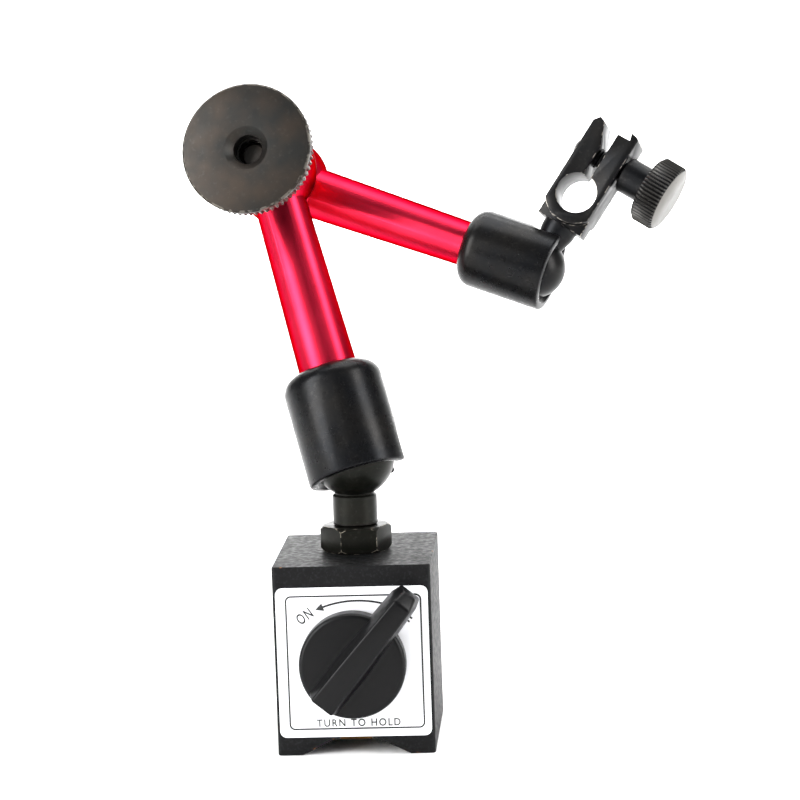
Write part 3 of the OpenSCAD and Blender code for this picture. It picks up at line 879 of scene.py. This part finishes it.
KEPT_NODES = {
    "top_separator": enamel,
    "bottom_separator": brass_strip,
    "magnet_rotor": magnet_grey,
    "rotor_shaft": turned_steel,
    "stop_pin": turned_steel,
    "front_bush": turned_brass,
    "rear_cap": enamel,
    "lower_ball_seat": turned_brass,
    "lower_push_rod": turned_steel,
    "centre_stud": knob_oxide,
    "knob_washer": turned_steel,
    "hinge_washer": turned_brass,
    "disc_spring": spring_grey,
    "upper_push_rod": turned_steel,
    "upper_ball_seat": turned_brass,
}
for node, material in KEPT_NODES.items():
    mesh = frame["nodes"][node].data
    mesh.materials.clear()
    mesh.materials.append(material)

# ---------------------------------------------------------------- studio


def seamless_paper(name):
    """Seamless background paper: matt, very slightly clouded white."""
    material, tree, shader = new_finish(name, Roughness=0.9)
    pulp = add(tree, "TexNoise", {"Vector": millimetres(tree, BASE), "Scale": 1 / 30.0})
    colour = add(tree, "Mix", {"Factor": pulp, "A": linear("#fbfbfb"),
                               "B": linear("#f7f7f7")}, data_type="RGBA")
    dress(tree, shader, Base_Color=colour)
    return material


def make_floor():
    """A pale floor that curves up into the background."""
    bm = bmesh.new()
    reach, curve_r, wall_top = 3.0, 0.8, 3.0
    points = [(-reach, 0)] + [(reach - curve_r + curve_r * sin(a), curve_r - curve_r * cos(a))
                              for a in [radians(90 * i / 12) for i in range(13)]]
    points.append((reach, wall_top))
    row = [bm.verts.new((-reach * 1.5, y, z)) for y, z in points]
    lines = [bm.edges.new(pair) for pair in zip(row, row[1:])]
    made = bmesh.ops.extrude_edge_only(bm, edges=lines)
    moved = [g for g in made["geom"] if isinstance(g, bmesh.types.BMVert)]
    bmesh.ops.translate(bm, vec=(reach * 3, 0, 0), verts=moved)
    bmesh.ops.recalc_face_normals(bm, faces=bm.faces)
    mesh = bpy.data.meshes.new("floor")
    bm.to_mesh(mesh)
    bm.free()
    mesh.polygons.foreach_set("use_smooth", [True] * len(mesh.polygons))
    mesh.materials.append(seamless_paper("white seamless paper"))
    floor = bpy.data.objects.new("floor", mesh)
    bpy.context.scene.collection.objects.link(floor)


def area_light(name, position, target, size, watts):
    """A white rectangular softbox aimed at a point, in metres."""
    data = bpy.data.lights.new(name, "AREA")
    data.shape = "RECTANGLE"
    data.size, data.size_y = size
    data.energy = watts
    lamp = bpy.data.objects.new(name, data)
    bpy.context.scene.collection.objects.link(lamp)
    lamp.location = position
    lamp.rotation_mode = "QUATERNION"
    lamp.rotation_quaternion = (Vector(position) - Vector(target)).to_track_quat("Z", "Y")


def make_studio():
    """Softboxes at both sides, in front and overhead, and a lit wall and floor behind."""
    middle = (0, 0, 0.07)
    area_light("left softbox", (-0.72, -0.55, 0.35), middle, (0.45, 0.9), 17)
    area_light("right softbox", (0.85, -0.3, 0.35), middle, (0.35, 0.9), 11)
    area_light("front softbox", (-0.42, -1.09, 0.65), middle, (0.9, 0.6), 2.6)
    area_light("top softbox", (0, 0.1, 0.9), middle, (0.9, 0.5), 8)
    area_light("wall light", (0, 0.9, 1.3), (0, 2.9, 0.4), (2.5, 0.5), 130)
    area_light("floor light", (0, 0.9, 1.3), (0, 1.5, 0), (2.5, 0.5), 30)
    world = bpy.data.worlds.new("soft white room")
    bpy.context.scene.world = world
    world.use_nodes = True
    tree = world.node_tree
    tree.nodes.clear()
    glow = add(tree, "Background", {"Color": linear("#ffffff"), "Strength": 0.25})
    add(tree, "OutputWorld", {"Surface": glow})
    bpy.context.scene.view_settings.view_transform = "Standard"


make_floor()
make_studio()
